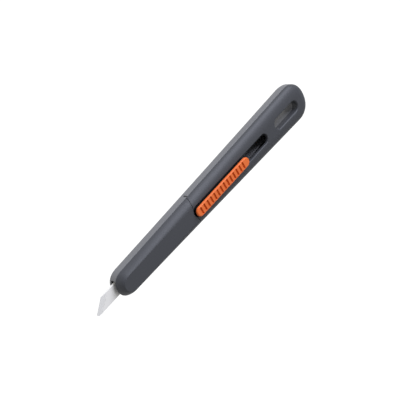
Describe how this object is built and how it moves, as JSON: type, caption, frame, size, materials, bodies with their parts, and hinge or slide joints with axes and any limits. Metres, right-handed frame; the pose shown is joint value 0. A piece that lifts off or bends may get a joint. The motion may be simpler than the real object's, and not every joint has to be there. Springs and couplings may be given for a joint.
{
  "type": "utility knife",
  "caption": "Slim utility knife with a tapered dark grey handle, orange thumb slider, removable nose cover, lanyard hole and retractable white ceramic blade.",
  "frame": {"origin": "middle of the knife's length and width with the blade out, at the flat back of the handle, which rests on the table", "axes": "+X along the handle towards the blade tip, +Y across the width, +Z from the back to the front face with the thumb slider"},
  "size_m": [0.1492, 0.019, 0.0124],
  "materials": {
    "housing": "fine matt moulded grain",
    "back_housing": "fine matt moulded grain, a lighter grey than the covers",
    "inner_plastic": "plain moulded",
    "button": "satin moulded",
    "blade": "ground matt zirconia",
    "spring_steel": "rolled strip",
    "screw_steel": "zinc plated"
  },
  "bodies": {
    "handle": {"back_shell": "back_housing", "rear_cover": "housing", "notch_rail": "inner_plastic", "housing_screws": "screw_steel"},
    "slide": {"slide_carrier": "inner_plastic", "lock_spring": "spring_steel", "blade": "blade", "blade_keeper": "inner_plastic"},
    "button": {"slider_button": "button"},
    "nose_lid": {"nose_cover": "housing"}
  },
  "joints": [
    {"name": "slider_slide", "type": "slide", "parent": "handle", "child": "slide", "axis": [-1, 0, 0], "range_m": [0, 0.0166], "deforming": ["lock_spring"]},
    {"name": "button_press", "type": "slide", "parent": "slide", "child": "button", "axis": [0, 0, -1], "range_m": [0, 0.0008], "stiffness_N_per_m": 2500, "deforming": ["lock_spring"]},
    {"name": "nose_cover_slide", "type": "slide", "parent": "handle", "child": "nose_lid", "axis": [1, 0, 0], "range_m": [0, 0.004]}
  ]
}
